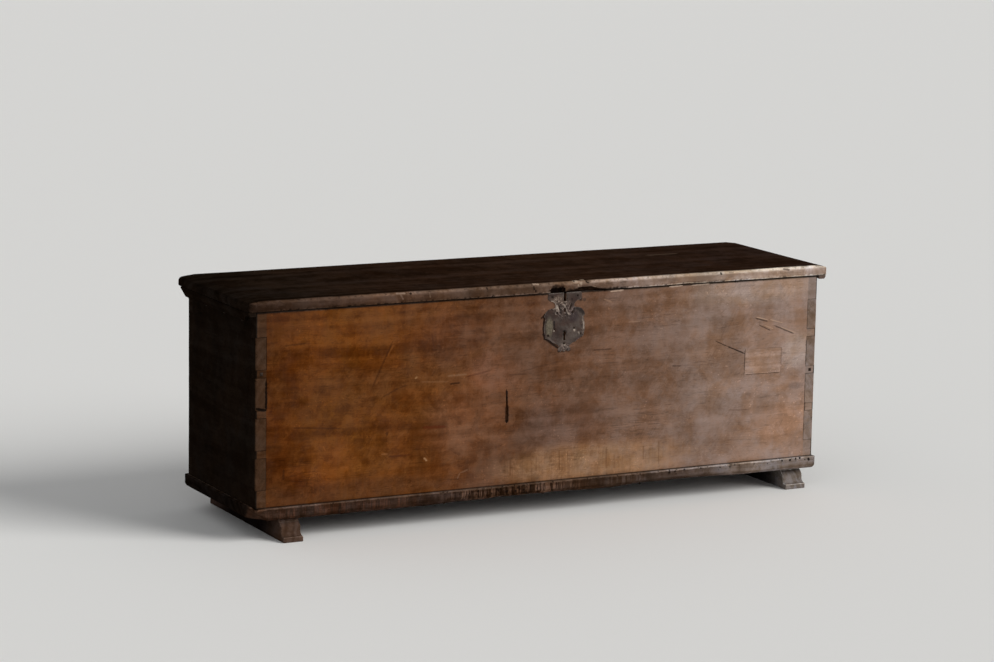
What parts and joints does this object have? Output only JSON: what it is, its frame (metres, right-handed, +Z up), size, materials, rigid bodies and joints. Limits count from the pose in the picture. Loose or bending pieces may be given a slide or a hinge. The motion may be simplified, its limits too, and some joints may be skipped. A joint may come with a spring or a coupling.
{
  "type": "storage chest",
  "caption": "Long dovetailed storage chest on two moulded runners, with a hinged plank lid, strap hinges and a pierced iron lock plate.",
  "frame": {"origin": "on the floor, under the middle of the chest", "axes": "+X along the length to the right of someone who faces the lock, +Y from the front to the back, +Z up"},
  "size_m": [1.752, 0.5, 0.6373],
  "materials": {
    "front_walnut": "waxed, worn",
    "back_walnut": "dry, unpolished",
    "end_walnut": "waxed, dark",
    "patch_walnut": "waxed",
    "base_walnut": "waxed, scarred",
    "runner_walnut": "worn, dry",
    "lid_walnut": "waxed, polished by use",
    "nail_iron": "forged, rusted",
    "plate_iron": "forged, browned",
    "lock_iron": "forged, filed",
    "strap_iron": "forged, browned"
  },
  "bodies": {
    "chest_box": {"front_board": "front_walnut", "back_board": "back_walnut", "left_end_board": "end_walnut", "right_end_board": "end_walnut", "front_patch": "patch_walnut", "base_board": "base_walnut", "left_runner": "runner_walnut", "right_runner": "runner_walnut", "base_nails": "nail_iron", "runner_nails": "nail_iron", "corner_nails": "nail_iron", "lock_plate": "plate_iron", "lock_plate_nails": "nail_iron", "lock_cover": "lock_iron", "lock_cover_nails": "nail_iron", "lock_bolt_guides": "lock_iron", "lock_bolt_stump": "lock_iron", "lock_key_post": "lock_iron", "lock_spring": "lock_iron", "left_back_strap": "strap_iron", "right_back_strap": "strap_iron", "back_strap_nails": "nail_iron", "left_hinge_pin": "strap_iron", "right_hinge_pin": "strap_iron"},
    "lid": {"lid_board": "lid_walnut", "left_cleat": "lid_walnut", "right_cleat": "lid_walnut", "cleat_nails": "nail_iron", "left_lid_strap": "strap_iron", "right_lid_strap": "strap_iron", "lid_strap_nails": "nail_iron"},
    "bolt": {"lock_bolt": "lock_iron"}
  },
  "joints": [
    {"name": "lid_hinge", "type": "hinge", "parent": "chest_box", "child": "lid", "pos_m": [0, 0.2369, 0.6004], "axis": [-1, 0, 0], "range_deg": [0, 100]},
    {"name": "bolt_slide", "type": "slide", "parent": "chest_box", "child": "bolt", "axis": [1, 0, 0], "range_m": [0, 0.02]}
  ]
}
